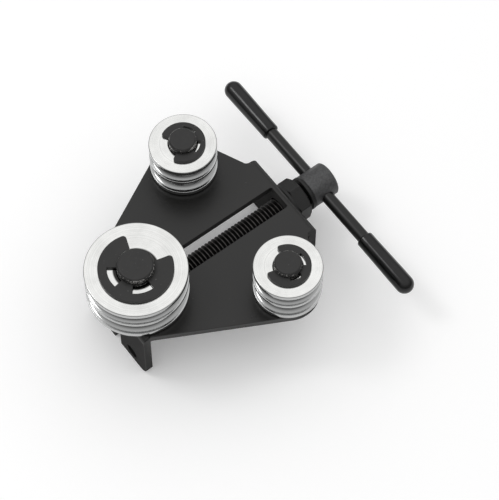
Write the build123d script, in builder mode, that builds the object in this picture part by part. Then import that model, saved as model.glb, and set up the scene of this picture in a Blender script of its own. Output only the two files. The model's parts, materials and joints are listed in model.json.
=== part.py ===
from build123d import *
import os
from math import asin, atan2, cos, degrees, hypot, radians, sin

# Three-roller tube bender. A bent steel deck stands on two turned-down legs. Two guide
# rollers spin on fixed axles. A larger forming roller rides on a carriage in the deck's
# slot, and a lead screw with a tommy bar draws it between the guide rollers.
# +X points from the vise leg to the handle, +Z up, origin at the bottom centre of the box.

os.makedirs("parts", exist_ok=True)

# Deck, bent from one sheet
sheet = 4.0
leg_depth = 36.0          # deck top down to the feet of both legs
bend_outer = 4.0
bend_inner = 1.2
guide_pitch = 81.0        # between the two guide roller axes
forming_reach = 56.0      # guide line back to the forming roller, fully open
tail_reach = 9.6          # forming axis, fully open, back to the vise leg's inner face
front_reach = 26.4        # guide line forward to the screw leg's inner face
ear_radius = 15.3         # round corners of the deck under the guide rollers
front_leg_width = 47.0
front_neck = 5.7          # length of the straight sides behind the screw leg
neck_fillet = 2.6
vise_leg_width = 46.0
vise_leg_round = 5.0
vise_hole_diameter = 7.5
vise_hole_pitch = 23.2
vise_hole_height = 6.6    # foot up to the hole centres
notch_width = 4.6
notch_height = 12.0
slot_width = 12.8
slot_corner = 1.0

# Rollers, with half-round grooves for two tube sizes
forming_diameter = 48.0
guide_diameter = 32.2
roller_height = 21.0
upper_groove = 3.2        # groove radius for 6.35 mm tube
lower_groove = 4.0        # groove radius for 7.94 mm tube
top_rim = 2.5
middle_rim = 1.6
rim_break = 0.4
bore_break = 0.5

# Axles, shims and retaining clips
forming_axle_diameter = 17.5
guide_axle_diameter = 13.3
forming_axle_stand = 4.8  # axle top above the roller's top face
guide_axle_stand = 4.0
axle_break = 1.0
forming_shim_diameter = 34.0
guide_shim_diameter = 24.0
shim = 0.6
clip = 1.5                # thickness of the clips
clip_groove_depth = 1.3
forming_clip_diameter = 35.0
forming_clip_web = 4.3    # ring width at the windows
guide_clip_diameter = 21.4
guide_clip_web = 2.4
clip_mouth = 42.0         # half angle of a clip's opening
clip_back_lug = 19.0      # half angle of the lug opposite the opening
clip_window = 46.0        # angle of each window beside that lug
clip_tip_round = 1.1
forming_clip_turn = 28.0  # direction of each clip's opening
left_clip_turn = 166.0
right_clip_turn = 124.0
guide_stud_diameter = 8.0
stud_nut_across = 13.0
stud_nut_height = 5.0
stud_washer = 1.6
stud_washer_diameter = 14.8
stud_end = 1.2            # stud left proud of its nut

# Carriage
block_length = 16.2
block_width = 22.0
block_height = 18.0
block_break = 1.0
block_overhang = 6.2      # block end behind the forming axle
waist_round = 1.5
spigot_diameter = 10.0
spigot_depth = 3.8

# Lead screw, its head and the nut welded to the deck
screw_drop = 13.5         # deck top down to the screw axis
screw_diameter = 12.7
screw_lead = 1.954
screw_turns = 36
journal_diameter = 9.0
journal_break = 0.5
tail_clip = 0.9
tail_clip_groove_diameter = 7.0
tail_clip_diameter = 14.0
tail_clip_web = 1.6
tail_end = 1.2
thrust_washer = 1.5
thrust_washer_diameter = 18.0
nut_across = 19.05
nut_height = 7.0
nut_crown = 0.6           # corner chamfer of a nut, over the corner's depth
nut_washer = 1.5
nut_washer_diameter = 22.0
stop_gap = 1.9            # nut to stop washer, fully open
stop_washer = 1.5
stop_washer_diameter = 17.4
head_diameter = 17.0
head_length = 14.2
head_break = 0.8
head_spigot_diameter = 9.0
head_spigot_depth = 3.2

# Tommy bar and its dipped grips
bar_diameter = 6.35
bar_length = 139.0
grip_length = 35.0
grip_cap = 2.0            # vinyl over the end of the bar
grip_neck_diameter = 8.6
grip_end_diameter = 9.2

# Fits
running = 0.05            # radial, turning parts
play = 0.05               # axial, between stacked parts
slide_play = 0.1          # each side of the carriage in the slot
hole_clearance = 0.4      # radial, the screw through its leg

# Places that follow from the sizes
nut_stack = nut_washer + nut_height + stop_gap
head_end = front_reach + sheet + nut_stack + stop_washer + head_length
guide_x = (forming_reach + forming_diameter / 2 - head_end) / 2
forming_x = guide_x - forming_reach
tail_x = forming_x - tail_reach - sheet
front_x = guide_x + front_reach + sheet
deck_top = leg_depth
deck_under = deck_top - sheet
guide_y = guide_pitch / 2
screw_z = deck_top - screw_drop
roller_base = deck_top + play + shim + play
roller_top = roller_base + roller_height
clip_base = roller_top + play
block_back = forming_x - block_overhang
block_front = block_back + block_length
block_top = deck_under - play * 2
waist_width = slot_width - 2 * slide_play
slot_back = forming_x - waist_width / 2 - slide_play * 4
shoulder_x = block_front + play + thrust_washer
nut_x = front_x + nut_washer
stop_x = nut_x + nut_height + stop_gap
head_x = stop_x + stop_washer
bar_x = head_x + head_length / 2
travel = screw_turns * screw_lead


def tangent_touch(px, py, cy, radius):
    """Where the line from (px, py) touches the round ear centred on (guide_x, cy)."""
    reach = hypot(px - guide_x, py - cy)
    swing = asin(radius / reach)
    side = 1 if px > guide_x else -1
    heading = atan2(cy - py, guide_x - px) - side * swing
    run = reach * cos(swing)
    return (px + run * cos(heading), py + run * sin(heading))


def upright(x, y, z):
    """Plane for a profile turned about a vertical axis: local x is radius, local y is up."""
    return Plane(origin=(x, y, z), x_dir=(1, 0, 0), z_dir=(0, -1, 0))


def across(x, y=0.0, z=screw_z):
    """Plane whose normal is +X, for discs on the screw axis."""
    return Plane(origin=(x, y, z), x_dir=(0, 1, 0), z_dir=(1, 0, 0))


def annular_sector(inner, outer, start, span):
    """Piece of a ring between two radii, from the start angle."""
    with BuildSketch() as sector:
        with BuildLine():
            far = CenterArc((0, 0), outer, start, span)
            near = CenterArc((0, 0), inner, start, span)
            Line(far @ 0, near @ 0)
            Line(far @ 1, near @ 1)
        make_face()
    return sector.sketch


def e_ring(diameter, web, seat_diameter, tip_round):
    """Retaining clip with its opening on +X: three lugs reach in to the groove."""
    outer = diameter / 2
    seat = seat_diameter / 2 + running
    with BuildSketch() as ring:
        Circle(outer)
        Circle(seat, mode=Mode.SUBTRACT)
        for turn in (180 + clip_back_lug, 180 - clip_back_lug - clip_window):
            add(annular_sector(seat - running, outer - web, turn, clip_window), mode=Mode.SUBTRACT)
        mouth = (diameter * cos(radians(clip_mouth)), diameter * sin(radians(clip_mouth)))
        with BuildLine():
            Polyline((0, 0), mouth, (mouth[0], -mouth[1]), close=True)
        make_face(mode=Mode.SUBTRACT)
        tips = ring.vertices().filter_by(lambda v: abs(hypot(v.X, v.Y) - outer) < 0.01)
        fillet(tips, tip_round)
    return ring.sketch


def hex_blank(plane, across_flats, height, bore_diameter):
    """Chamfered hexagon nut on a plane, with a corner on the plane's local y."""
    corner = across_flats / 3 ** 0.5
    crown = (corner - across_flats / 2) * nut_crown
    with BuildPart() as nut:
        with BuildSketch(plane):
            RegularPolygon(across_flats / 2, 6, major_radius=False, rotation=30)
        extrude(amount=height)
        with BuildSketch(Plane(origin=plane.origin, x_dir=plane.x_dir, z_dir=-plane.y_dir)):
            with BuildLine():
                Polyline(
                    (0, 0),
                    (across_flats / 2, 0),
                    (corner, crown),
                    (corner, height - crown),
                    (across_flats / 2, height),
                    (0, height),
                    close=True,
                )
            make_face()
        revolve(axis=Axis(plane.origin, plane.z_dir), mode=Mode.INTERSECT)
        with BuildSketch(plane):
            Circle(bore_diameter / 2)
        extrude(amount=height, mode=Mode.SUBTRACT)
    return nut.part


def roller(x, y, diameter, bore_diameter):
    """Grooved roller turned about a vertical axis."""
    radius = diameter / 2
    bore = bore_diameter / 2
    upper_z = roller_height - top_rim - upper_groove
    lower_z = upper_z - upper_groove - middle_rim - lower_groove
    with BuildPart() as turned:
        with BuildSketch(upright(x, y, roller_base)) as profile:
            with Locations(((bore + radius) / 2, roller_height / 2)):
                Rectangle(radius - bore, roller_height)
            chamfer(profile.vertices().group_by(Axis.X)[-1], rim_break)
            chamfer(profile.vertices().group_by(Axis.X)[0], bore_break)
            with Locations((radius, upper_z)):
                Circle(upper_groove, mode=Mode.SUBTRACT)
            with Locations((radius, lower_z)):
                Circle(lower_groove, mode=Mode.SUBTRACT)
        revolve(axis=Axis((x, y, 0), (0, 0, 1)))
    return turned.part


def washer_on(plane, outer_diameter, inner_diameter, thickness):
    """Flat ring on a plane."""
    with BuildPart() as ring:
        with BuildSketch(plane):
            Circle(outer_diameter / 2)
            Circle(inner_diameter / 2, mode=Mode.SUBTRACT)
        extrude(amount=thickness)
    return ring.part


# ---------------------------------------------------------------- deck
vise_bend_x = tail_x + bend_outer
neck_x = front_x - front_neck
half_front = front_leg_width / 2
half_vise = vise_leg_width / 2
front_touch = tangent_touch(neck_x, half_front, guide_y, ear_radius)
back_touch = tangent_touch(vise_bend_x, half_vise, guide_y, ear_radius)

with BuildPart() as base_plate:
    # flat blank of the deck, one half mirrored across the slot line
    with BuildSketch(Plane.XY.offset(deck_under)) as blank:
        with BuildLine():
            Line((tail_x, 0), (tail_x, half_vise))
            Line((tail_x, half_vise), (vise_bend_x, half_vise))
            Line((vise_bend_x, half_vise), back_touch)
            ear = (guide_x, guide_y + ear_radius)
            ThreePointArc(back_touch, ear, front_touch)
            Line(front_touch, (neck_x, half_front))
            Line((neck_x, half_front), (front_x, half_front))
            Line((front_x, half_front), (front_x, 0))
            mirror(about=Plane.XZ)
        make_face()
        necks = blank.vertices().filter_by(lambda v: abs(v.X - neck_x) < 0.01)
        fillet(necks, neck_fillet)
    extrude(amount=sheet)
    # screw leg and vise leg, bent down
    with BuildSketch(Plane.XY):
        with Locations((front_x - sheet / 2, 0)):
            Rectangle(sheet, front_leg_width)
        with Locations((tail_x + sheet / 2, 0)):
            Rectangle(sheet, vise_leg_width)
    extrude(amount=deck_top)
    bends = base_plate.edges().filter_by(Axis.Y)
    ends = lambda e, x: abs(e.center().X - x) < 0.01
    fillet([e for e in bends if ends(e, front_x) and e.center().Z > deck_top - 0.01], bend_outer)
    bends = base_plate.edges().filter_by(Axis.Y)
    fillet([e for e in bends if ends(e, tail_x) and e.center().Z > deck_top - 0.01], bend_outer)
    bends = base_plate.edges().filter_by(Axis.Y)
    inner_corners = (front_x - sheet, tail_x + sheet)
    fillet(
        [
            e
            for e in bends
            if abs(e.center().Z - deck_under) < 0.01 and any(ends(e, x) for x in inner_corners)
        ],
        bend_inner,
    )
    # rounded corners on the foot of the vise leg
    foot_corners = [
        e
        for e in base_plate.edges().filter_by(Axis.X)
        if e.center().Z < 0.01 and e.center().X < vise_bend_x
    ]
    fillet(foot_corners, vise_leg_round)
    # carriage slot, run out to the inner face of the screw leg
    slot_length = front_x - sheet - slot_back
    with BuildSketch(Plane.XY.offset(deck_top)):
        with Locations((slot_back + slot_length / 2, 0)):
            RectangleRounded(slot_length, slot_width, slot_corner)
    extrude(amount=-(sheet + bend_inner), mode=Mode.SUBTRACT)
    # holes for the guide axle studs
    with Locations((guide_x, guide_y, deck_top), (guide_x, -guide_y, deck_top)):
        Hole(guide_stud_diameter / 2 + running, sheet)
    # clearance hole for the lead screw
    with BuildSketch(across(front_x)):
        Circle(screw_diameter / 2 + hole_clearance)
    extrude(amount=-sheet, mode=Mode.SUBTRACT)
    # bolt holes and centre notch in the vise leg
    with BuildSketch(across(tail_x, z=vise_hole_height)):
        with GridLocations(vise_hole_pitch, 1, 2, 1):
            Circle(vise_hole_diameter / 2)
    extrude(amount=sheet, mode=Mode.SUBTRACT)
    with BuildSketch(across(tail_x, z=0)):
        with Locations((0, notch_height / 2)):
            Rectangle(notch_width, notch_height)
    extrude(amount=sheet, mode=Mode.SUBTRACT)
base_plate.part.label = "base_plate"
export_step(base_plate.part, "parts/base_plate.step")

# ---------------------------------------------------------------- guide rollers
guide_groove = guide_axle_diameter - 2 * clip_groove_depth
for side, y, turn in (("left", guide_y, left_clip_turn), ("right", -guide_y, right_clip_turn)):
    # shouldered axle: journal above the deck, stud through it
    journal = guide_axle_diameter / 2
    journal_top = roller_top + guide_axle_stand
    stud_foot = deck_under - stud_washer - stud_nut_height - stud_end
    with BuildPart() as guide_axle:
        with BuildSketch(Plane(origin=(guide_x, y, stud_foot))):
            Circle(guide_stud_diameter / 2)
        extrude(amount=deck_top - stud_foot)
        chamfer(guide_axle.edges().group_by(Axis.Z)[0], axle_break / 2)
        with BuildSketch(Plane(origin=(guide_x, y, deck_top))):
            Circle(journal)
        extrude(amount=journal_top - deck_top)
        chamfer(guide_axle.edges().group_by(Axis.Z)[-1], axle_break)
        with BuildSketch(Plane(origin=(guide_x, y, clip_base - play))):
            Circle(journal + 1)
            Circle(guide_groove / 2, mode=Mode.SUBTRACT)
        extrude(amount=clip + 2 * play, mode=Mode.SUBTRACT)
    guide_axle.part.label = f"guide_axle_{side}"
    export_step(guide_axle.part, f"parts/guide_axle_{side}.step")

    with BuildPart() as guide_shim:
        bore = guide_axle_diameter + 2 * running
        seat = Plane(origin=(guide_x, y, deck_top))
        add(washer_on(seat, guide_shim_diameter, bore, shim))
    guide_shim.part.label = f"guide_shim_{side}"
    export_step(guide_shim.part, f"parts/guide_shim_{side}.step")

    with BuildPart() as guide_roller:
        add(roller(guide_x, y, guide_diameter, guide_axle_diameter + 2 * running))
    guide_roller.part.label = f"guide_roller_{side}"
    export_step(guide_roller.part, f"parts/guide_roller_{side}.step")

    with BuildPart() as guide_clip:
        facing = (cos(radians(turn)), sin(radians(turn)), 0)
        with BuildSketch(Plane(origin=(guide_x, y, clip_base), x_dir=facing)):
            add(e_ring(guide_clip_diameter, guide_clip_web, guide_groove, clip_tip_round))
        extrude(amount=clip)
    guide_clip.part.label = f"guide_clip_{side}"
    export_step(guide_clip.part, f"parts/guide_clip_{side}.step")

    with BuildPart() as stud_ring:
        under = Plane(origin=(guide_x, y, deck_under - stud_washer))
        stud_bore = guide_stud_diameter + 2 * running
        add(washer_on(under, stud_washer_diameter, stud_bore, stud_washer))
    stud_ring.part.label = f"stud_washer_{side}"
    export_step(stud_ring.part, f"parts/stud_washer_{side}.step")

    with BuildPart() as stud_nut:
        nut_foot = Plane(origin=(guide_x, y, deck_under - stud_washer - stud_nut_height))
        add(hex_blank(nut_foot, stud_nut_across, stud_nut_height, stud_bore))
    stud_nut.part.label = f"stud_nut_{side}"
    export_step(stud_nut.part, f"parts/stud_nut_{side}.step")

# ---------------------------------------------------------------- forming roller and carriage
with BuildPart() as forming_roller:
    add(roller(forming_x, 0, forming_diameter, forming_axle_diameter + 2 * running))
forming_roller.part.label = "forming_roller"
export_step(forming_roller.part, "parts/forming_roller.step")

# Slide block under the deck, bored for the screw journal and drilled for the axle spigot
with BuildPart() as slide_block:
    with BuildSketch(across(block_back, z=block_top - block_height / 2)) as end_face:
        Rectangle(block_width, block_height)
        chamfer(end_face.vertices(), block_break)
    extrude(amount=block_length)
    with BuildSketch(across(block_back)):
        Circle(journal_diameter / 2 + running)
    extrude(amount=block_length, mode=Mode.SUBTRACT)
    with Locations((forming_x, 0, block_top)):
        Hole(spigot_diameter / 2, spigot_depth)
slide_block.part.label = "slide_block"
export_step(slide_block.part, "parts/slide_block.step")

# Forming axle: journal above, square waist in the slot, spigot in the block
forming_groove = forming_axle_diameter - 2 * clip_groove_depth
forming_axle_top = roller_top + forming_axle_stand
with BuildPart() as forming_axle:
    with BuildSketch(Plane(origin=(forming_x, 0, deck_top + play))):
        Circle(forming_axle_diameter / 2)
    extrude(amount=forming_axle_top - deck_top - play)
    chamfer(forming_axle.edges().group_by(Axis.Z)[-1], axle_break)
    with BuildSketch(Plane(origin=(forming_x, 0, clip_base - play))):
        Circle(forming_axle_diameter / 2 + 1)
        Circle(forming_groove / 2, mode=Mode.SUBTRACT)
    extrude(amount=clip + 2 * play, mode=Mode.SUBTRACT)
    with BuildSketch(Plane(origin=(forming_x, 0, block_top))):
        RectangleRounded(waist_width, waist_width, waist_round)
    extrude(amount=deck_top + play - block_top)
    with BuildSketch(Plane(origin=(forming_x, 0, block_top - spigot_depth))):
        Circle(spigot_diameter / 2)
    extrude(amount=spigot_depth)
forming_axle.part.label = "forming_axle"
export_step(forming_axle.part, "parts/forming_axle.step")

with BuildPart() as forming_shim:
    shim_bore = forming_axle_diameter + 2 * running
    shim_seat = Plane(origin=(forming_x, 0, deck_top + play))
    add(washer_on(shim_seat, forming_shim_diameter, shim_bore, shim))
forming_shim.part.label = "forming_shim"
export_step(forming_shim.part, "parts/forming_shim.step")

with BuildPart() as forming_clip:
    opening = (cos(radians(forming_clip_turn)), sin(radians(forming_clip_turn)), 0)
    with BuildSketch(Plane(origin=(forming_x, 0, clip_base), x_dir=opening)):
        add(e_ring(forming_clip_diameter, forming_clip_web, forming_groove, clip_tip_round * 1.5))
    extrude(amount=clip)
forming_clip.part.label = "forming_clip"
export_step(forming_clip.part, "parts/forming_clip.step")

# ---------------------------------------------------------------- lead screw
with BuildPart() as nut_ring:
    nut_ring_bore = screw_diameter + 2 * hole_clearance
    add(washer_on(across(front_x), nut_washer_diameter, nut_ring_bore, nut_washer))
nut_ring.part.label = "screw_nut_washer"
export_step(nut_ring.part, "parts/screw_nut_washer.step")

with BuildPart() as screw_nut:
    add(hex_blank(across(nut_x), nut_across, nut_height, screw_diameter + 2 * running))
screw_nut.part.label = "screw_nut"
export_step(screw_nut.part, "parts/screw_nut.step")

tail_clip_x = block_back - play - tail_clip
tail_x_end = tail_clip_x - tail_end
with BuildPart() as lead_screw:
    with BuildSketch(across(shoulder_x)):
        Circle(screw_diameter / 2)
    extrude(amount=head_x - shoulder_x)
    chamfer(lead_screw.edges().group_by(Axis.X)[0], journal_break)
    with BuildSketch(across(tail_x_end)):
        Circle(journal_diameter / 2)
    extrude(amount=shoulder_x - tail_x_end)
    chamfer(lead_screw.edges().group_by(Axis.X)[0], journal_break)
    with BuildSketch(across(tail_clip_x)):
        Circle(journal_diameter / 2 + 1)
        Circle(tail_clip_groove_diameter / 2, mode=Mode.SUBTRACT)
    extrude(amount=tail_clip + play, mode=Mode.SUBTRACT)
    with BuildSketch(across(head_x)):
        Circle(head_spigot_diameter / 2)
    extrude(amount=head_spigot_depth)
lead_screw.part.label = "lead_screw"
export_step(lead_screw.part, "parts/lead_screw.step")

with BuildPart() as tail_ring:
    with BuildSketch(across(tail_clip_x)):
        add(e_ring(tail_clip_diameter, tail_clip_web, tail_clip_groove_diameter, clip_tip_round / 2))
    extrude(amount=tail_clip)
tail_ring.part.label = "tail_clip"
export_step(tail_ring.part, "parts/tail_clip.step")

with BuildPart() as thrust_ring:
    thrust_bore = journal_diameter + 2 * running
    thrust_seat = across(block_front + play)
    add(washer_on(thrust_seat, thrust_washer_diameter, thrust_bore, thrust_washer))
thrust_ring.part.label = "thrust_washer"
export_step(thrust_ring.part, "parts/thrust_washer.step")

with BuildPart() as stop_ring:
    stop_bore = screw_diameter + 2 * running
    add(washer_on(across(stop_x), stop_washer_diameter, stop_bore, stop_washer))
stop_ring.part.label = "stop_washer"
export_step(stop_ring.part, "parts/stop_washer.step")

# Head, bored crossways for the tommy bar
with BuildPart() as screw_head:
    with BuildSketch(across(head_x)):
        Circle(head_diameter / 2)
    extrude(amount=head_length)
    chamfer(screw_head.edges().filter_by(GeomType.CIRCLE), head_break)
    with BuildSketch(across(head_x)):
        Circle(head_spigot_diameter / 2)
    extrude(amount=head_spigot_depth, mode=Mode.SUBTRACT)
    with BuildSketch(Plane(origin=(bar_x, 0, screw_z), x_dir=(1, 0, 0), z_dir=(0, 1, 0))):
        Circle(bar_diameter / 2 + running)
    extrude(amount=head_diameter, both=True, mode=Mode.SUBTRACT)
screw_head.part.label = "screw_head"
export_step(screw_head.part, "parts/screw_head.step")

# ---------------------------------------------------------------- tommy bar
with BuildPart() as tommy_bar:
    bar_start = Plane(origin=(bar_x, -bar_length / 2, screw_z), x_dir=(1, 0, 0), z_dir=(0, 1, 0))
    with BuildSketch(bar_start):
        Circle(bar_diameter / 2)
    extrude(amount=bar_length)
    chamfer(tommy_bar.edges().filter_by(GeomType.CIRCLE), journal_break)
tommy_bar.part.label = "tommy_bar"
export_step(tommy_bar.part, "parts/tommy_bar.step")

grip_tip = bar_length / 2 + grip_cap
for side, way in (("left", 1), ("right", -1)):
    # profile: local x is radius, local y runs along the bar away from the head
    along = Plane(origin=(bar_x, 0, screw_z), x_dir=(1, 0, 0), z_dir=(0, 0, way))
    with BuildPart() as bar_grip:
        with BuildSketch(along):
            with BuildLine():
                tip_radius = grip_end_diameter / 2
                dome = grip_tip - tip_radius
                Line((0, grip_tip - grip_length), (grip_neck_diameter / 2, grip_tip - grip_length))
                Line((grip_neck_diameter / 2, grip_tip - grip_length), (tip_radius, dome))
                CenterArc((0, dome), tip_radius, 0, 90)
                Line((0, grip_tip), (0, grip_tip - grip_length))
            make_face()
        revolve(axis=Axis((bar_x, 0, screw_z), (0, 1, 0)))
        with BuildSketch(bar_start):
            Circle(bar_diameter / 2)
        extrude(amount=bar_length, mode=Mode.SUBTRACT)
    bar_grip.part.label = f"bar_grip_{side}"
    export_step(bar_grip.part, f"parts/bar_grip_{side}.step")

print(f"travel {travel:.3f} mm, block to screw leg {front_x - sheet - shoulder_x - travel:.2f} mm")
print(f"guide line x {guide_x:.3f}, forming x {forming_x:.3f}, head x {head_x:.3f}, bar x {bar_x:.3f}")
print(f"vise leg x {tail_x:.3f}, screw leg x {front_x:.3f}, screw z {screw_z:.3f}")
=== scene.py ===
import json
import math
import bmesh
import bpy
from mathutils import Matrix, Vector

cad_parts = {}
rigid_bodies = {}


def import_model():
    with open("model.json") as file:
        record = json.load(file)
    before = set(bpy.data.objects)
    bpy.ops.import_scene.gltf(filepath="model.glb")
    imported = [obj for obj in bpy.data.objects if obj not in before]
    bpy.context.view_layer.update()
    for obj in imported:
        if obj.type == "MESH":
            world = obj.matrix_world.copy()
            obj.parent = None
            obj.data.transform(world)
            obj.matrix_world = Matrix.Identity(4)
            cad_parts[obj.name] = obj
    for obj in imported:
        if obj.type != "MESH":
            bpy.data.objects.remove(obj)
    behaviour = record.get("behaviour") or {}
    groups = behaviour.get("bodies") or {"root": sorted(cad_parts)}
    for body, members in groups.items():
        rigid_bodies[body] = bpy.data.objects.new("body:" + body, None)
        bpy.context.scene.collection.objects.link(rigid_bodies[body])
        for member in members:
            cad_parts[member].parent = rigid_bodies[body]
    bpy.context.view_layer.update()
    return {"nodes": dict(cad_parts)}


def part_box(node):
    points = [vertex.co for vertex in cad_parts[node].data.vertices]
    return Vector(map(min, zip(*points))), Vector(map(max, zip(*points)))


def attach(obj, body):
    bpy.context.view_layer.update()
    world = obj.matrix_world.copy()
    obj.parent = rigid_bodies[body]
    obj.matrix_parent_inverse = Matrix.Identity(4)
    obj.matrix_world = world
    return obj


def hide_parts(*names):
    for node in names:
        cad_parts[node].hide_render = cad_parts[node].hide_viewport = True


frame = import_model()
print("frame loaded,", len(frame["nodes"]), "nodes")


def deselectAll():
    if bpy.context.object and bpy.context.object.mode != "OBJECT":
        bpy.ops.object.mode_set(mode="OBJECT")
    bpy.ops.object.select_all(action="DESELECT")


def makeActive(piece):
    deselectAll()
    piece.select_set(True)
    bpy.context.view_layer.objects.active = piece


def boxCentre(node):
    low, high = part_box(node)
    return (low + high) / 2


weldDistance = 2e-6


def cleanUp(piece, smoothAngle=32):
    makeActive(piece)
    bpy.ops.object.mode_set(mode="EDIT")
    bpy.ops.mesh.select_all(action="SELECT")
    bpy.ops.mesh.remove_doubles(threshold=weldDistance)
    bpy.ops.mesh.normals_make_consistent(inside=False)
    bpy.ops.object.mode_set(mode="OBJECT")
    bpy.ops.object.shade_smooth_by_angle(angle=math.radians(smoothAngle))


def arc(centreR, centreH, radius, start, stop, count):
    # points of a rounded corner or a groove, as (radius, height) pairs
    points = []
    for step in range(count + 1):
        angle = math.radians(start + (stop - start) * step / count)
        points.append((centreR + radius * math.cos(angle), centreH + radius * math.sin(angle)))
    return points


def turned(name, profile, origin, axis, steps=128, closed=False, smoothAngle=32):
    # a profile of (radius, height) points drawn vertex by vertex, then spun about its axis
    along = Vector(axis)
    outward = Vector((0, 0, 1)) if abs(along.z) < 0.5 else Vector((1, 0, 0))
    base = Vector(origin)
    spots = [base + outward * radius + along * height for radius, height in profile]
    deselectAll()
    bpy.ops.mesh.primitive_plane_add(size=0.001, location=spots[0])
    piece = bpy.context.object
    piece.name = name
    piece.data.name = name
    bpy.ops.object.transform_apply(location=True, rotation=True, scale=True)
    bpy.ops.object.mode_set(mode="EDIT")
    bpy.ops.mesh.select_mode(type="VERT")
    bpy.ops.mesh.select_all(action="SELECT")
    bpy.ops.mesh.merge(type="CENTER")
    for here, there in zip(spots, spots[1:]):
        bpy.ops.mesh.extrude_region_move(TRANSFORM_OT_translate={"value": there - here})
    if closed:
        work = bmesh.from_edit_mesh(piece.data)
        for vert in work.verts:
            vert.select = len(vert.link_edges) == 1
        bmesh.update_edit_mesh(piece.data)
        bpy.ops.mesh.edge_face_add()
    bpy.ops.mesh.select_all(action="SELECT")
    bpy.ops.mesh.spin(steps=steps, angle=math.tau, dupli=False, center=base, axis=along)
    cleanUp(piece, smoothAngle)
    return piece


softening = {"weldBefore": 4e-6, "weldAfter": 1e-6, "flatAngle": 0.4, "sharpAngle": 28,
             "smoothAngle": 40}


def softened(name, node, width, segments=2, edgeSlot=-1):
    # a copy of a frame node with its sharp edges eased, as plating or paint leaves them
    makeActive(frame["nodes"][node])
    bpy.ops.object.duplicate()
    piece = bpy.context.object
    bpy.ops.object.parent_clear(type="CLEAR_KEEP_TRANSFORM")
    piece.name = name
    piece.data.name = name
    for key in list(piece.keys()):
        del piece[key]
    piece.data.materials.clear()
    bpy.ops.mesh.customdata_custom_splitnormals_clear()
    bpy.ops.object.mode_set(mode="EDIT")
    bpy.ops.mesh.select_mode(type="EDGE")
    bpy.ops.mesh.select_all(action="SELECT")
    bpy.ops.mesh.remove_doubles(threshold=softening["weldBefore"])
    bpy.ops.mesh.dissolve_limited(angle_limit=math.radians(softening["flatAngle"]))
    bpy.ops.mesh.select_all(action="DESELECT")
    bpy.ops.mesh.edges_select_sharp(sharpness=math.radians(softening["sharpAngle"]))
    bpy.ops.mesh.bevel(offset=width, segments=segments, profile=0.5, clamp_overlap=False,
                       material=edgeSlot)
    bpy.ops.mesh.select_all(action="SELECT")
    bpy.ops.mesh.remove_doubles(threshold=softening["weldAfter"])
    bpy.ops.object.mode_set(mode="OBJECT")
    bpy.ops.object.shade_smooth_by_angle(angle=math.radians(softening["smoothAngle"]))
    bpy.ops.object.modifier_add(type="WEIGHTED_NORMAL")
    piece.modifiers[-1].keep_sharp = True
    bpy.ops.object.modifier_apply(modifier=piece.modifiers[-1].name)
    return piece


class Field:  # a socket that can stand in a sum
    def __init__(self, finish, socket):
        self.finish = finish
        self.socket = socket

    def join(self, operation, first, second=0.0):
        return self.finish.node("ShaderNodeMath", {"operation": operation}, {0: first, 1: second})

    def __add__(self, other):
        return self.join("ADD", self, other)

    def __radd__(self, other):
        return self.join("ADD", other, self)

    def __sub__(self, other):
        return self.join("SUBTRACT", self, other)

    def __rsub__(self, other):
        return self.join("SUBTRACT", other, self)

    def __mul__(self, other):
        return self.join("MULTIPLY", self, other)

    def __rmul__(self, other):
        return self.join("MULTIPLY", other, self)

    def __pow__(self, other):
        return self.join("POWER", self, other)

    def clamped(self):
        return self.join("MINIMUM", self.join("MAXIMUM", self, 0.0), 1.0)


class NodeTree:  # the nodes of one material or of the sky
    def __init__(self, tree):
        self.tree = tree

    def node(self, kind, settings, inputs, output=0):
        made = self.tree.nodes.new(kind)
        for setting, value in settings.items():
            setattr(made, setting, value)
        for key, value in inputs.items():
            if isinstance(value, Field):
                self.tree.links.new(value.socket, made.inputs[key])
            else:
                made.inputs[key].default_value = value
        return Field(self, made.outputs[output])


class Finish(NodeTree):  # one material
    def __init__(self, name, **constants):
        self.material = bpy.data.materials.new(name)
        self.material.use_nodes = True
        super().__init__(self.material.node_tree)
        self.shader = self.tree.nodes["Principled BSDF"]
        for socketName, value in constants.items():
            self.shader.inputs[socketName.replace("_", " ")].default_value = value
        self.place = self.node("ShaderNodeTexCoord", {}, {}, "Object")

    def feed(self, socketName, value):
        self.tree.links.new(value.socket, self.shader.inputs[socketName])

    def shifted(self, location, scale=(1, 1, 1)):
        return self.node("ShaderNodeMapping", {"vector_type": "POINT"},
                         {"Vector": self.place, "Location": location, "Scale": scale})

    def split(self, vector):
        first = self.node("ShaderNodeSeparateXYZ", {}, {"Vector": vector})
        return [Field(self, output) for output in first.socket.node.outputs]

    def under(self, socketName):  # what already feeds a shader socket
        return Field(self, self.shader.inputs[socketName].links[0].from_socket)

    def noise(self, scale, detail=3.0, roughness=0.55, vector=None):
        return self.node("ShaderNodeTexNoise", {"noise_dimensions": "3D"},
                         {"Vector": vector or self.place, "Scale": scale, "Detail": detail,
                          "Roughness": roughness}, "Fac")

    def stretch(self, value, low, high):
        return self.node("ShaderNodeMapRange", {"clamp": True, "interpolation_type": "SMOOTHSTEP"},
                         {"Value": value, "From Min": low, "From Max": high})

    def blendColours(self, factor, first, second):
        return self.node("ShaderNodeMix", {"data_type": "RGBA", "clamp_factor": True},
                         {0: factor, 6: (*first, 1) if isinstance(first, tuple) else first,
                          7: (*second, 1) if isinstance(second, tuple) else second}, 2)

    def bump(self, height, strength, distance):
        self.feed("Normal", self.node("ShaderNodeBump", {}, {
            "Height": height, "Strength": strength, "Distance": distance}, "Normal"))


def dress(piece, *finishes):
    piece.data.materials.clear()
    for finish in finishes:
        piece.data.materials.append(finish.material)


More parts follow.
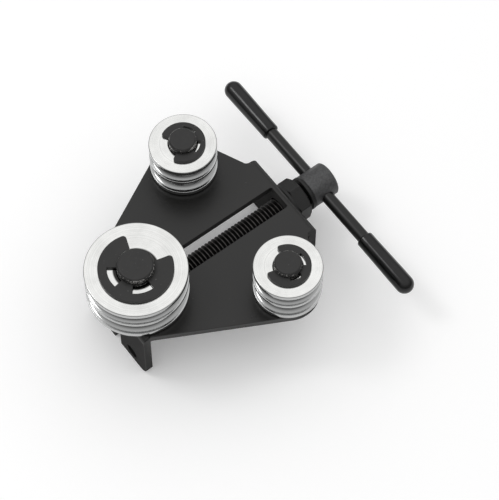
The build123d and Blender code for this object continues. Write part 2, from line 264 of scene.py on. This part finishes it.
def turnedZinc(name, centre, rimRadius, topZ, boreShadeRadius, values):
    # bright zinc plate over lathe marks that ring the centre of one roller; painted shade and
    # painted reflection darken the sides, the grooves, a line round the rim and a band round the
    # bore
    finish = Finish(name, Metallic=1.0)
    x, y, z = finish.split(finish.shifted((-centre[0], -centre[1], 0)))
    radius = (x * x + y * y) ** 0.5
    sweep = radius + z * values["ringLean"]  # runs over faces and grooves alike
    ringSpot = finish.node("ShaderNodeCombineXYZ", {}, {"X": sweep})
    coarse = finish.noise(values["ringScale"], 4.0, 0.7, ringSpot)
    fine = finish.noise(values["ringScale"] * 5, 2.0, 0.6, ringSpot)
    cloud = finish.noise(values["cloudScale"], 4.0, 0.6)
    handled = finish.stretch(finish.noise(values["handledScale"], 3.0, 0.6), 0.5, 0.78)
    grain = finish.noise(values["grainScale"], 2.0, 0.6)
    scratch = finish.noise(1.0, 2.0, 0.5, finish.shifted((0, 0, 0), values["scratchStretch"]))
    scratches = finish.stretch(scratch, 0.66, 0.74)
    tone = (coarse * 0.45 + fine * 0.2 + cloud * 0.35).clamped()
    plate = finish.blendColours(
        finish.stretch(tone, 0.3, 0.7), values["shadeColour"], values["brightColour"])
    below = finish.stretch(topZ - z, *values["sideDepth"])  # 0 on the top face, 1 on the side
    groove = finish.stretch(rimRadius - radius, *values["grooveDepth"]) * below
    # painted reflection: a dark line along the rounded rim of the top face, standing in for the
    # dark room that the rounding mirrors
    edge = finish.stretch(rimRadius - radius, *values["edgeBand"])
    edge = (1 - edge) * (1 - below)
    # painted shade: the turned side is darker than the top face and the grooves darker still,
    # standing in for the shadowed floor and dark room they reflect
    shadedTurnedSide = finish.blendColours(groove, values["sideShadeColour"], values["grooveShadeColour"])
    plate = finish.blendColours(below, plate, shadedTurnedSide)
    plate = finish.blendColours(edge * 0.8, plate, values["edgeColour"])
    # painted shade: a dark band round the bore, standing in for the shadow and reflection of the
    # axle and clip on the zinc
    boreShade = 1 - finish.stretch(radius + cloud * values["boreShadeRagged"] - boreShadeRadius,
                                *values["boreShadeFade"])
    finish.feed("Base Color", finish.blendColours(boreShade, plate, values["boreShadeColour"]))
    finish.feed("Roughness", (values["roughness"] + coarse * 0.07
                              + handled * 0.06 + scratches * 0.08 - fine * 0.03))
    height = coarse * 0.5 + fine * 0.5 + grain * 0.2 - scratches * 0.15
    finish.bump(height * (1 - below * 0.55), values["bump"], 0.00004)
    return finish


coatScales = {"cloud": 30, "dust": 320.0, "dustPatch": 70, "rubStretch": (120, 900, 300)}


def powderCoat(name, values):
    # satin black powder coat: orange peel, dust and a few rubs
    finish = Finish(name, Metallic=0.0, Specular_IOR_Level=values["specular"])
    peel = finish.noise(values["peelScale"], 2.0, 0.5)
    grit = finish.noise(values["peelScale"] * 3.1, 2.0, 0.6)
    cloud = finish.noise(coatScales["cloud"], 4.0, 0.6)
    dustCells = finish.node("ShaderNodeTexVoronoi", {"feature": "F1"}, {
        "Vector": finish.place, "Scale": coatScales["dust"], "Randomness": 1.0}, "Distance")
    dustPatch = finish.stretch(finish.noise(coatScales["dustPatch"]), 0.5, 0.62)
    dust = (1 - finish.stretch(dustCells, 0.035, 0.09)) * dustPatch
    along = finish.shifted((0, 0, 0), coatScales["rubStretch"])
    rub = finish.stretch(finish.noise(1.0, 3.0, 0.6, along), 0.63, 0.8)
    dark = finish.blendColours(cloud, values["dark"], values["light"])
    finish.feed("Base Color", finish.blendColours(dust * 0.5, dark, values["dust"]))
    glance = finish.node("ShaderNodeLayerWeight", {}, {"Blend": 0.5}, "Facing")
    matte = finish.stretch(glance, 0.5, 0.72)  # the peel breaks up the gloss at a glance
    finish.feed("Roughness", (values["roughness"] + cloud * 0.1 - rub * 0.08 + dust * 0.2
                              + grit * 0.05 + matte * 0.6))
    finish.bump(peel * 0.8 + grit * 0.2, values["bump"], 0.00005)
    return finish


def blackenedSteel(name, values):
    # black oxide or phosphate over steel, worn through in specks
    finish = Finish(name, Metallic=values["metallic"], Specular_IOR_Level=values["specular"])
    cloud = finish.noise(values["cloudScale"], 4.0, 0.65)
    grain = finish.noise(values["grainScale"], 3.0, 0.65)
    specks = finish.stretch(finish.noise(values["speckScale"], 2.0, 0.7), 0.7, 0.78)
    tinted = finish.blendColours(cloud, values["dark"], values["light"])
    finish.feed("Base Color", finish.blendColours(specks * values["wear"], tinted, values["bare"]))
    finish.feed("Roughness", values["roughness"] + cloud * 0.14 - specks * 0.1 + grain * 0.08)
    finish.bump(grain * 0.8 + cloud * 0.4, values["bump"], 0.00006)
    return finish


def wornAxle(name, centre, rimRadius, values):
    # black oxide rubbed bright in chips round the rim, with an arc or two on the face
    finish = blackenedSteel(name, values)
    x, y = finish.split(finish.shifted((-centre[0], -centre[1], 0)))[:2]
    radius = (x * x + y * y) ** 0.5
    rim = finish.stretch(radius, rimRadius - 0.0007, rimRadius - 0.0002)
    chips = finish.stretch(finish.noise(1300, 3.0, 0.7) + finish.noise(140, 2.0, 0.5) * 0.5,
                           0.79, 0.86)
    ringSpot = finish.node("ShaderNodeCombineXYZ", {}, {"X": radius})
    arcs = finish.stretch(finish.noise(2600, 1.0, 0.5, ringSpot), 0.66, 0.7)
    arcs = arcs * finish.stretch(finish.noise(170, 2.0, 0.6), 0.54, 0.64)
    worn = (rim * chips + arcs * 0.4).clamped()
    before = finish.under("Base Color")
    finish.feed("Base Color", finish.blendColours(worn, before, values["bare"]))
    return finish


def threadedSteel(name, axisZ, values):
    # oiled black oxide: crests painted lighter, partly wear where the nut rubs and partly a
    # painted highlight; the roots keep the dark oxide and are rougher
    finish = blackenedSteel(name, values)
    y, z = finish.split(finish.shifted((0, 0, -axisZ)))[1:]
    radius = (y * y + z * z) ** 0.5
    crestWearAndHighlight = finish.stretch(radius, values["crestFrom"], values["crestTo"])
    crestWearAndHighlight = (crestWearAndHighlight * (0.55 + finish.noise(420, 3.0, 0.6) * 0.9)).clamped()
    before = finish.under("Base Color")
    finish.feed("Base Color", finish.blendColours(crestWearAndHighlight, before, values["crestWearAndHighlight"]))
    finish.feed("Roughness", finish.under("Roughness") + (1 - crestWearAndHighlight) * 0.22)
    return finish


def dippedVinyl(name, values):
    # glossy dip with faint runs along the bar
    finish = Finish(name, Metallic=0.0, Specular_IOR_Level=values["specular"])
    runs = finish.noise(1.0, 2.0, 0.5, finish.shifted((0, 0, 0), (420, 110, 420)))
    pores = finish.noise(2600, 2.0, 0.6)
    smudge = finish.stretch(finish.noise(75, 4.0, 0.6), 0.45, 0.7)
    finish.feed("Base Color", finish.blendColours(smudge, values["dark"], values["light"]))
    finish.feed("Roughness", values["roughness"] + smudge * 0.12 + pores * 0.04)
    finish.bump(runs * 0.9 + pores * 0.1, values["bump"], 0.0001)
    return finish


deckFinish = powderCoat("satinPowderCoat", {
    "dark": (0.006, 0.0058, 0.0054), "light": (0.011, 0.0107, 0.0101), "dust": (0.11, 0.107, 0.1),
    "roughness": 0.26, "specular": 0.45, "peelScale": 1300, "bump": 0.35})
deckEdge = powderCoat("rubbedPowderCoat", {
    "dark": (0.009, 0.0088, 0.0084), "light": (0.018, 0.0176, 0.0168), "dust": (0.15, 0.147, 0.14),
    "roughness": 0.24, "specular": 0.48, "peelScale": 1900, "bump": 0.25})
clipFinish = blackenedSteel("phosphatedSpringSteel", {
    "dark": (0.007, 0.0069, 0.0067), "light": (0.024, 0.0235, 0.0227), "bare": (0.36, 0.352, 0.34),
    "metallic": 0.15, "specular": 0.5, "roughness": 0.4, "wear": 0.5, "cloudScale": 160,
    "grainScale": 2600, "speckScale": 900, "bump": 0.5})
axleLook = {
    "dark": (0.009, 0.0088, 0.0086), "light": (0.022, 0.0215, 0.0208), "bare": (0.36, 0.352, 0.34),
    "metallic": 0.15, "specular": 0.5, "roughness": 0.34, "wear": 0.5, "cloudScale": 210,
    "grainScale": 2200, "speckScale": 1100, "bump": 0.5}
axleFinishes = {}
for node in ("guide_axle_left", "guide_axle_right", "forming_axle"):
    low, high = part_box(node)
    axleFinishes[node] = wornAxle("blackOxide_" + node, boxCentre(node), (high.x - low.x) / 2,
                                  axleLook)
screwZ = boxCentre("lead_screw").z
screwFinish = threadedSteel("oiledBlackThread", screwZ, {
    "crestFrom": 0.0062, "crestTo": 0.00634, "crestWearAndHighlight": (0.12, 0.115, 0.109),
    "dark": (0.003, 0.0029, 0.0028), "light": (0.006, 0.0058, 0.0056), "bare": (0.2, 0.19, 0.18),
    "metallic": 0.6, "specular": 0.12, "roughness": 0.25, "wear": 0.3, "cloudScale": 260,
    "grainScale": 3000, "speckScale": 900, "bump": 0.3})
fastenerFinish = blackenedSteel("blackenedFastener", {
    "dark": (0.009, 0.0089, 0.0087), "light": (0.02, 0.0198, 0.0194), "bare": (0.25, 0.245, 0.24),
    "metallic": 0.3, "specular": 0.4, "roughness": 0.36, "wear": 0.4, "cloudScale": 200,
    "grainScale": 2400, "speckScale": 1000, "bump": 0.4})
headFinish = blackenedSteel("roughTurnedHead", {
    "dark": (0.02, 0.0203, 0.0208), "light": (0.13, 0.1303, 0.132), "bare": (0.4, 0.4, 0.405),
    "metallic": 0.6, "specular": 0.5, "roughness": 0.34, "wear": 0.45, "cloudScale": 900,
    "grainScale": 1700, "speckScale": 1500, "bump": 1.5})
barFinish = blackenedSteel("satinBlackBar", {
    "dark": (0.006, 0.0059, 0.0058), "light": (0.012, 0.0118, 0.0116), "bare": (0.2, 0.195, 0.19),
    "metallic": 0.1, "specular": 0.42, "roughness": 0.2, "wear": 0.12, "cloudScale": 130,
    "grainScale": 1800, "speckScale": 1200, "bump": 0.25})
gripFinish = dippedVinyl("dippedGripVinyl", {
    "dark": (0.004, 0.004, 0.0041), "light": (0.007, 0.007, 0.0072), "roughness": 0.12,
    "specular": 0.36, "bump": 0.25})
print("finishes made")

rollerShape = {
    "rimRound": 0.00045, "lipRound": 0.00022, "boreEase": 0.0005,
    "upperGroove": 0.0032, "lowerGroove": 0.004, "topRim": 0.0025, "middleRim": 0.0016,
    "boreGap": 0.00005, "steps": 160,
}


def rollerProfile(radius, bore, height, shape):
    ease = shape["boreEase"]
    rim = shape["rimRound"]
    upper = height - shape["topRim"] - shape["upperGroove"]
    lower = upper - shape["upperGroove"] - shape["middleRim"] - shape["lowerGroove"]
    points = [(bore, ease), (bore + ease, 0)]
    points += [(bore + (radius - bore) * share, 0) for share in (0.35, 0.7)]
    points += arc(radius - rim, rim, rim, -90, 0, 5)
    for centre, groove in ((lower, shape["lowerGroove"]), (upper, shape["upperGroove"])):
        lip = shape["lipRound"]
        swing = math.degrees(math.asin(lip / (groove + lip)))
        deep = (groove + lip) * math.cos(math.radians(swing))
        points += arc(radius - lip, centre - deep, lip, 0, 90 - swing, 4)
        points += arc(radius, centre, groove, 270 - swing * 0.98, 90 + swing * 0.98, 22)[1:-1]
        points += arc(radius - lip, centre + deep, lip, -90 + swing, 0, 4)
    points += arc(radius - rim, height - rim, rim, 0, 90, 5)
    points += [(bore + (radius - bore) * share, height) for share in (0.7, 0.35)]
    points += [(bore + ease, height), (bore, height - ease)]
    return points


# the side, groove, rim-line and bore-band colours in this table are painted shade and painted
# reflection on the zinc
zincLook = {"brightColour": (0.86, 0.862, 0.846), "shadeColour": (0.62, 0.622, 0.61),
            "sideShadeColour": (0.5, 0.504, 0.502), "grooveShadeColour": (0.31, 0.313, 0.312),
            "edgeColour": (0.24, 0.242, 0.24), "boreShadeColour": (0.03, 0.029, 0.028),
            "sideDepth": (0.0003, 0.0007), "grooveDepth": (0.0001, 0.0011),
            "edgeBand": (0.0002, 0.0005), "boreShadeFade": (-0.0003, 0.0005),
            "boreShadeRagged": 0.0003, "roughness": 0.12, "bump": 0.12, "ringScale": 1500,
            "ringLean": 0.87, "cloudScale": 95, "handledScale": 38, "grainScale": 2400,
            "scratchStretch": (260, 3800, 700)}
# the last column sets how far the painted shade reaches out from the bore
for node, body, axle, name, boreShadeWidth in (
    ("forming_roller", "main_roller", "forming_axle", "formingRoller", 0.0019),
    ("guide_roller_left", "left_roller", "guide_axle_left", "guideRollerLeft", 0.0004),
    ("guide_roller_right", "right_roller", "guide_axle_right", "guideRollerRight", 0.0004),
):
    low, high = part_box(node)
    axleLow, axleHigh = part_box(axle)
    centre = boxCentre(node)
    bore = (axleHigh.x - axleLow.x) / 2 + rollerShape["boreGap"]
    profile = rollerProfile((high.x - low.x) / 2, bore, high.z - low.z, rollerShape)
    roller = turned(name, profile, (centre.x, centre.y, low.z), (0, 0, 1),
                    rollerShape["steps"], closed=True)
    dress(roller, turnedZinc("turnedZinc" + name[0].upper() + name[1:], centre,
                             (high.x - low.x) / 2, high.z, bore + boreShadeWidth, zincLook))
    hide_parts(node)
    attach(roller, body)
print("rollers turned")

# frame and carriage pieces with eased edges; an edge finish goes on the bevel
softPieces = {
    "deckPlate": {"node": "base_plate", "body": "frame", "width": 0.00032, "finish": deckFinish,
                  "edge": deckEdge, "segments": 3},
    "guideAxleLeft": {"node": "guide_axle_left", "body": "frame", "width": 0.00028,
                      "finish": axleFinishes["guide_axle_left"], "segments": 3},
    "guideAxleRight": {"node": "guide_axle_right", "body": "frame", "width": 0.00028,
                       "finish": axleFinishes["guide_axle_right"], "segments": 3},
    "formingAxle": {"node": "forming_axle", "body": "carriage", "width": 0.00028,
                    "finish": axleFinishes["forming_axle"], "segments": 3},
    "guideClipLeft": {"node": "guide_clip_left", "body": "frame", "width": 0.00016,
                      "finish": clipFinish},
    "guideClipRight": {"node": "guide_clip_right", "body": "frame", "width": 0.00016,
                       "finish": clipFinish},
    "formingClip": {"node": "forming_clip", "body": "carriage", "width": 0.0002,
                    "finish": clipFinish},
    "slideBlock": {"node": "slide_block", "body": "carriage", "width": 0.0003,
                   "finish": fastenerFinish},
    "screwNut": {"node": "screw_nut", "body": "frame", "width": 0.00025, "finish": fastenerFinish},
    "screwNutWasher": {"node": "screw_nut_washer", "body": "frame", "width": 0.00015,
                       "finish": fastenerFinish},
    "studNutLeft": {"node": "stud_nut_left", "body": "frame", "width": 0.0002,
                    "finish": fastenerFinish},
    "studNutRight": {"node": "stud_nut_right", "body": "frame", "width": 0.0002,
                     "finish": fastenerFinish},
    "screwHead": {"node": "screw_head", "body": "screw", "width": 0.0003, "finish": headFinish,
                  "segments": 3},
    "stopWasher": {"node": "stop_washer", "body": "screw", "width": 0.00018,
                   "finish": fastenerFinish},
    "thrustWasher": {"node": "thrust_washer", "body": "screw", "width": 0.00018,
                     "finish": fastenerFinish},
}
for name, values in softPieces.items():
    edgeSlot = 1 if "edge" in values else -1
    piece = softened(name, values["node"], values["width"], values.get("segments", 2),
                     edgeSlot=edgeSlot)
    dress(piece, *[values[key] for key in ("finish", "edge") if key in values])
    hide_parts(values["node"])
    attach(piece, values["body"])
    print("softened", name, len(piece.data.polygons), "faces")

# small pieces shown as the frame has them
keptPieces = {
    "guide_shim_left": clipFinish, "guide_shim_right": clipFinish, "forming_shim": clipFinish,
    "stud_washer_left": fastenerFinish, "stud_washer_right": fastenerFinish,
    "tail_clip": clipFinish,
}
for node, finish in keptPieces.items():
    dress(frame["nodes"][node], finish)

# tooth points are (share of the pitch, share of the depth)
leadScrew = {
    "pitch": 0.001954, "threadDepth": 0.00106, "steps": 36, "smoothAngle": 50,
    "endGap": 0.00002, "journal": 0.0045, "journalGroove": 0.0035, "journalEase": 0.0005,
    "clipPlay": 0.00005, "journalSteps": 64,
    "tooth": ((0.0, 0.0), (0.18, 0.0), (0.25, 0.08), (0.51, 0.9), (0.56, 1.0), (0.66, 1.0),
              (0.71, 0.9), (0.97, 0.08), (1.0, 0.0)),
}
low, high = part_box("lead_screw")
major = (high.z - low.z) / 2
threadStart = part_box("thrust_washer")[1].x
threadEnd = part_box("screw_head")[0].x
pitch = leadScrew["pitch"]
turns = math.ceil((threadEnd - threadStart) / pitch) + 2
root = major - leadScrew["threadDepth"]
spots = [Vector((share * pitch, 0, root + lift * leadScrew["threadDepth"]))
         for share, lift in leadScrew["tooth"]]
deselectAll()
bpy.ops.mesh.primitive_plane_add(size=0.001, location=(0, 0, 0))
screw = bpy.context.object
screw.name = "leadScrew"
screw.data.name = "leadScrew"
bpy.ops.object.mode_set(mode="EDIT")
bpy.ops.mesh.select_mode(type="VERT")
bpy.ops.mesh.select_all(action="SELECT")
bpy.ops.mesh.merge(type="CENTER")
bpy.ops.transform.translate(value=spots[0])
for here, there in zip(spots, spots[1:]):
    bpy.ops.mesh.extrude_region_move(TRANSFORM_OT_translate={"value": there - here})
bpy.ops.object.mode_set(mode="OBJECT")
bpy.ops.object.modifier_add(type="SCREW")
helix = screw.modifiers[-1]
helix.axis = "X"
helix.angle = math.tau
helix.screw_offset = pitch
helix.iterations = turns
helix.steps = leadScrew["steps"]
helix.render_steps = leadScrew["steps"]
helix.use_merge_vertices = True
helix.merge_threshold = 1e-6
bpy.ops.object.modifier_apply(modifier=helix.name)
screw.location = (threadStart - pitch * 1.5, 0, screwZ)
bpy.ops.object.transform_apply(location=True, rotation=True, scale=True)
bpy.ops.object.mode_set(mode="EDIT")
bpy.ops.mesh.select_all(action="SELECT")
bpy.ops.mesh.remove_doubles(threshold=weldDistance)
bpy.ops.mesh.bisect(plane_co=(threadStart + leadScrew["endGap"], 0, screwZ),
                    plane_no=(1, 0, 0), use_fill=True, clear_inner=True)
bpy.ops.mesh.select_all(action="SELECT")
bpy.ops.mesh.bisect(plane_co=(threadEnd - leadScrew["endGap"], 0, screwZ),
                    plane_no=(1, 0, 0), use_fill=True, clear_outer=True)
bpy.ops.object.mode_set(mode="OBJECT")
cleanUp(screw, leadScrew["smoothAngle"])
print("thread cut,", len(screw.data.polygons), "faces")

# journal behind the thread, with the groove that the tail clip sits in
clipLow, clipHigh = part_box("tail_clip")
tail = low.x
journal = leadScrew["journal"]
grooveRadius = leadScrew["journalGroove"]
ease = leadScrew["journalEase"]
grooveFrom = clipLow.x - tail
grooveTo = clipHigh.x - tail + leadScrew["clipPlay"]
journalProfile = [(0, 0), (journal - ease, 0), (journal, ease), (journal, grooveFrom),
                  (grooveRadius, grooveFrom), (grooveRadius, grooveTo), (journal, grooveTo),
                  (journal, threadStart - tail), (0, threadStart - tail)]
journalPiece = turned("leadScrewJournal", journalProfile, (tail, 0, screwZ), (1, 0, 0),
                      leadScrew["journalSteps"])
for piece in (screw, journalPiece):
    dress(piece, screwFinish)
    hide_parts("lead_screw")
    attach(piece, "screw")

barShape = {"ease": 0.0006, "steps": 72}
low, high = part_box("tommy_bar")
barX, barZ = boxCentre("tommy_bar").xz
barRadius = (high.x - low.x) / 2
barLength = high.y - low.y
ease = barShape["ease"]
barProfile = [(0, 0)] + arc(barRadius - ease, ease, ease, -90, 0, 4)
barProfile += arc(barRadius - ease, barLength - ease, ease, 0, 90, 4) + [(0, barLength)]
bar = turned("tommyBar", barProfile, (barX, low.y, barZ), (0, 1, 0), barShape["steps"])
dress(bar, barFinish)
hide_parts("tommy_bar")
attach(bar, "bar")

gripShape = {"lip": 0.0007, "neckStep": 0.0003, "boreGap": 0.00002, "steps": 72,
             "swells": (0.15, 0.3, 0.5, 0.7, 0.85)}
for node, name in (("bar_grip_left", "barGripLeft"), ("bar_grip_right", "barGripRight")):
    low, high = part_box(node)
    way = 1 if low.y > 0 else -1
    inner = low.y if way > 0 else high.y
    length = high.y - low.y
    tip = (high.x - low.x) / 2
    neck = tip - gripShape["neckStep"]
    lip = gripShape["lip"]
    profile = [(barRadius + gripShape["boreGap"], lip * 0.4)]
    profile += arc(neck - lip, lip, lip, -90, 0, 6)
    for share in gripShape["swells"]:
        swell = 0.5 - 0.5 * math.cos(math.pi * share)
        profile.append((neck + (tip - neck) * swell, lip + (length - tip - lip) * share))
    profile += arc(0, length - tip, tip, 0, 90, 18)
    grip = turned(name, profile, (barX, inner, barZ), (0, way, 0), gripShape["steps"])
    dress(grip, gripFinish)
    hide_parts(node)
    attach(grip, "bar")
print("bar and grips turned")

studio = {"floorSize": 6.0, "floorDrop": 0.00002, "floorTone": 0.93, "floorGrain": 0.01,
          "floorGlow": 0.15, "skyStrength": 1.1,
          "skyTowards": (0.12, 0.16, 0.98), "skyStops": ((0.12, 0.24), (0.93, 1.0))}
deselectAll()
bpy.ops.mesh.primitive_plane_add(size=studio["floorSize"], location=(0, 0, -studio["floorDrop"]))
floor = bpy.context.object
floor.name = "studioFloor"
floorFinish = Finish("studioPaper", Roughness=0.9, Specular_IOR_Level=0.1)
paper = floorFinish.noise(260, 2.0, 0.5)
floorTone = studio["floorTone"]
floorFinish.feed("Base Color", floorFinish.blendColours(
    paper, (floorTone, ) * 3, (floorTone + studio["floorGrain"], ) * 3))
floorFinish.shader.inputs["Emission Color"].default_value = (1, 1, 1, 1)
floorFinish.shader.inputs["Emission Strength"].default_value = studio["floorGlow"]
dress(floor, floorFinish)

world = bpy.data.worlds.new("studioSky")
world.use_nodes = True
sky = NodeTree(world.node_tree)
skyPlace = sky.node("ShaderNodeTexCoord", {}, {}, "Generated")
skyLean = sky.node("ShaderNodeVectorMath", {"operation": "DOT_PRODUCT"},
                   {0: skyPlace, 1: studio["skyTowards"]}, "Value")
skyTone = sky.node("ShaderNodeValToRGB", {}, {"Fac": skyLean}, "Color")
skyRamp = skyTone.socket.node.color_ramp  # a bright ceiling over a darker room
skyRamp.interpolation = "EASE"
for element, (position, grey) in zip(skyRamp.elements, studio["skyStops"]):
    element.position = position
    element.color = (grey, grey, grey, 1)
background = sky.tree.nodes["Background"]
sky.tree.links.new(skyTone.socket, background.inputs["Color"])
background.inputs["Strength"].default_value = studio["skyStrength"]
bpy.context.scene.world = world


def softbox(name, place, aim, size, power):
    deselectAll()
    bpy.ops.object.light_add(type="AREA", location=place)
    light = bpy.context.object
    light.name = name
    light.data.shape = "RECTANGLE"
    light.data.size = size[0]
    light.data.size_y = size[1]
    light.data.energy = power
    light.rotation_euler = (Vector(aim) - Vector(place)).to_track_quat("-Z", "Y").to_euler()
    return light


keyValues = {"place": (-0.5, 0.62, 1.15), "aim": (0, 0, 0.03), "size": (0.34, 0.34), "power": 2.2}
softbox("keySoftbox", **keyValues)

cameraValues = {"azimuth": 52.98, "elevation": 62.42, "distance": 1.0178,
                "target": (0.00961, -0.01423, 0.036), "lens": 156.86, "sensor": 36,
                "clipStart": 0.05, "clipEnd": 20}
azimuth = math.radians(cameraValues["azimuth"])
elevation = math.radians(cameraValues["elevation"])
back = Vector((-math.cos(azimuth) * math.cos(elevation),
               -math.sin(azimuth) * math.cos(elevation), math.sin(elevation)))
right = Vector((math.sin(azimuth), -math.cos(azimuth), 0))
up = back.cross(right)
deselectAll()
cameraPlace = Vector(cameraValues["target"]) + back * cameraValues["distance"]
bpy.ops.object.camera_add(location=cameraPlace)
camera = bpy.context.object
camera.name = "studioCamera"
camera.rotation_euler = Matrix((right, up, back)).transposed().to_euler()
camera.data.lens = cameraValues["lens"]
camera.data.sensor_width = cameraValues["sensor"]
camera.data.clip_start = cameraValues["clipStart"]
camera.data.clip_end = cameraValues["clipEnd"]
bpy.context.scene.camera = camera
bpy.context.scene.view_settings.view_transform = "Standard"
print("studio set")
